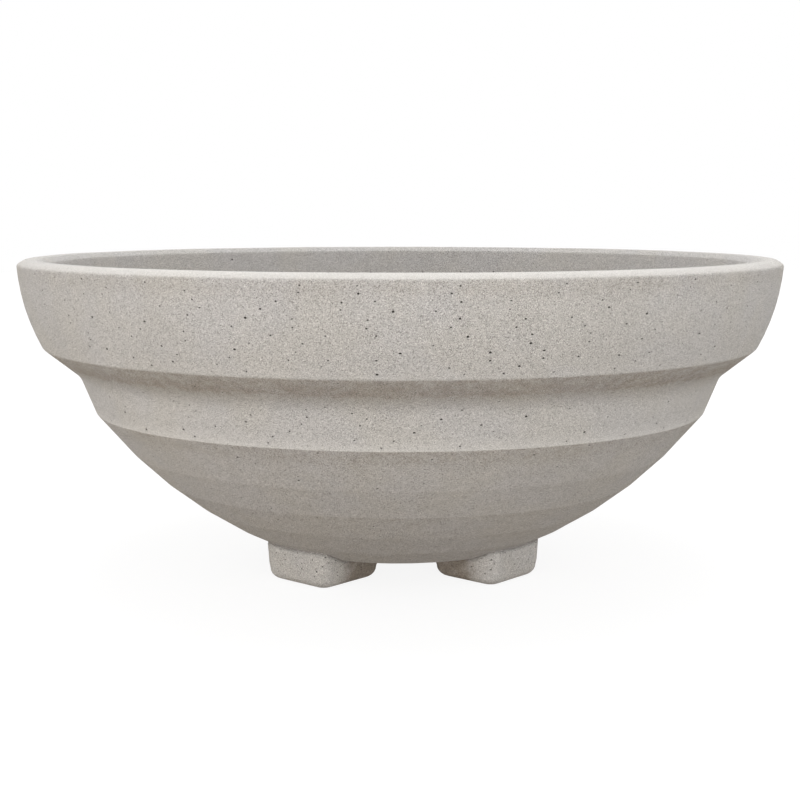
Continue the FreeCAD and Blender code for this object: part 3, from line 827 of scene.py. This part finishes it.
# %% Bars and dowels
MILL_BLUE, RUST_BROWN = (0.10, 0.105, 0.115), (0.26, 0.105, 0.045)
RUST, MILL_SCALE, SCALE_SWING = (60.0, 5.0), (420.0, 3.0), 0.4
FLAKE_EDGES, FLAKE_RELIEF, FLAKE_DEPTH = (0.42, 0.62), 0.6, 0.0004
BAR_ROUGH, BAR_METAL, ROD_ROUGH = (0.45, 0.90), (0.8, 0.1), (0.22, 0.47)
BRIGHT_ROD, HAZY_ROD = (0.56, 0.56, 0.55), (0.44, 0.44, 0.43)
BRUSH_RINGS, BRUSH_DEPTH = (300.0, 2.0, (0.05, 0.05, 12.0)), 0.0001
HAZE, HAZE_EDGES = (70.0, 3.0), (0.35, 0.7)
STEEL_WORDS = ("dowel", "hoop", "rib")


def rusty_bar():
    material, bench = new_finish("rusty_bar")
    rust, scale = bench.noise(*RUST), bench.noise(*MILL_SCALE)
    flake = (rust + scale.swing(SCALE_SWING)).ramp(*FLAKE_EDGES)
    tone = bench.mix(flake, MILL_BLUE, RUST_BROWN)
    relief = bench.bump(scale + flake * FLAKE_RELIEF, FLAKE_DEPTH)
    rough, metal = flake.span(*BAR_ROUGH), flake.span(*BAR_METAL)
    bench.feed(Base_Color=tone, Roughness=rough, Metallic=metal, Normal=relief)
    return material


def brushed_rod():
    material, bench = new_finish("brushed_rod")
    rings, haze = bench.noise(*BRUSH_RINGS), bench.noise(*HAZE)
    tone = bench.mix(haze.ramp(*HAZE_EDGES), BRIGHT_ROD, HAZY_ROD)
    relief = bench.bump(rings, BRUSH_DEPTH)
    bench.feed(Base_Color=tone, Metallic=1.0, Roughness=rings.span(*ROD_ROUGH), Normal=relief)
    return material


bar, rod = rusty_bar(), brushed_rod()
steel_names = [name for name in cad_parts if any(word in name for word in STEEL_WORDS)]
steel = {name: rod if name == "foot_dowels" else bar for name in steel_names}
for name, finish in steel.items():
    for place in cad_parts[name].material_slots:
        place.material = finish
print("steel pieces:", len(steel))

# %% [markdown]
# ## Floor and light
# The planter stands on a plain pale floor. The camera, and shiny or clear pieces, see floor and
# sky as white with a soft shadow. Other rays meet a darker floor that glows a little warm light,
# a painted bounce light that no shadow dims. Four low strips in front light the bands and the
# facets, the left one warmer, and one lamp overhead lights the rim.

# %% Floor and sky
FLOOR_REACH, FLOOR_TONE, SKY_LEVEL = 8.0, 0.08, 0.82
FLOOR_CORNERS = ((-1, -1), (1, -1), (1, 1), (-1, 1))
FLOOR_BOUNCE_GLOW, FLOOR_SHADOW, FLOOR_WHITE = (0.205, 0.172, 0.135), 0.13, 0.885
WHITE = (1.0, 1.0, 1.0)


def grey(level):
    return (level, level, level)


def in_view(bench):
    """1 on rays that the picture shows: from the camera, or by way of a shiny or clear piece."""
    kinds = ("Camera", "Glossy", "Transmission")
    camera, glossy, clear = (bench.node("LightPath", out=f"Is {kind} Ray") for kind in kinds)
    return camera + glossy + clear


def pale_floor():
    material, bench = new_finish("pale_floor")
    seen = in_view(bench)
    tone = bench.mix(seen, grey(FLOOR_TONE), grey(FLOOR_SHADOW))
    # Other rays see the floor glow warm, a painted bounce light that no shadow dims.
    glow = bench.mix(seen, FLOOR_BOUNCE_GLOW, grey(FLOOR_WHITE))
    bench.feed(Base_Color=tone, Roughness=1.0, Emission_Color=glow, Emission_Strength=1.0)
    return material


def lay_floor():
    mesh = bpy.data.meshes.new("floor")
    square = [(x * FLOOR_REACH, y * FLOOR_REACH, 0) for x, y in FLOOR_CORNERS]
    mesh.from_pydata(square, [], [(0, 1, 2, 3)])
    mesh.materials.append(pale_floor())
    floor = bpy.data.objects.new("floor", mesh)
    bpy.context.collection.objects.link(floor)


lay_floor()
scene = bpy.context.scene
scene.view_settings.view_transform = "Standard"
scene.world = bpy.data.worlds.new("studio")
scene.world.use_nodes = True
sky = Bench(scene.world.node_tree, "Background")
sky.feed(Color=sky.mix(in_view(sky), grey(SKY_LEVEL), WHITE), Strength=1.0)
print("sky level", SKY_LEVEL)

# %% Lamps
LAMP_AIM = Vector((0, 0, 0.2))
OVERHEAD_PLACE, OVERHEAD_SIZE, OVERHEAD_POWER = (0.0, 0.2, 2.6), (2.2, 2.2), 40.0
STRIP_REACH, STRIP_HEIGHT, STRIP_SIZE = 2.3, 0.17, (1.6, 0.34)
STRIPS = {
    "left_strip": (-65, 12.3, (1.0, 0.96, 0.90)),
    "front_left_strip": (-20, 12.0, (1.0, 0.99, 0.97)),
    "front_right_strip": (20, 10.8, WHITE),
    "right_strip": (65, 7.4, (0.98, 1.0, 1.0)),
}


def softbox(name, place, size, power, colour):
    lamp = bpy.data.lights.new(name, "AREA")
    lamp.shape = "RECTANGLE"
    lamp.size, lamp.size_y = size
    lamp.energy = power
    lamp.color = colour
    made = bpy.data.objects.new(name, lamp)
    made.location = place
    made.rotation_euler = (LAMP_AIM - Vector(place)).to_track_quat("-Z", "Y").to_euler()
    bpy.context.collection.objects.link(made)


softbox("overhead", OVERHEAD_PLACE, OVERHEAD_SIZE, OVERHEAD_POWER, WHITE)
for name, (azimuth, power, colour) in STRIPS.items():
    angle = math.radians(azimuth)
    place = (STRIP_REACH * math.sin(angle), -STRIP_REACH * math.cos(angle), STRIP_HEIGHT)
    softbox(name, place, STRIP_SIZE, power, colour)
print("lamps:", 1 + len(STRIPS))

# %% [markdown]
# ## Camera
# The picture was taken from in front, a hand's width above the rim. The feet are turned a little
# to the right in it, so the camera stands that much to the left of the front.

# %% Place the camera
FEET_TURN, CAMERA_PITCH = math.radians(3.62), math.radians(7.58)
CAMERA_REACH, CAMERA_RISE = 1.801, 0.0619
CAMERA_LENS, SENSOR_WIDTH = 65.6, 36.0
camera = bpy.data.objects.new("camera", bpy.data.cameras.new("camera"))
camera.data.sensor_width = SENSOR_WIDTH
camera.data.lens = CAMERA_LENS
in_front = Vector((0, -CAMERA_REACH, rim_z + CAMERA_RISE))
camera.location = Matrix.Rotation(-FEET_TURN, 3, "Z") @ in_front
camera.rotation_euler = (math.pi / 2 - CAMERA_PITCH, 0, -FEET_TURN)
bpy.context.collection.objects.link(camera)
scene.camera = camera
print("camera at", [round(value, 3) for value in camera.location])
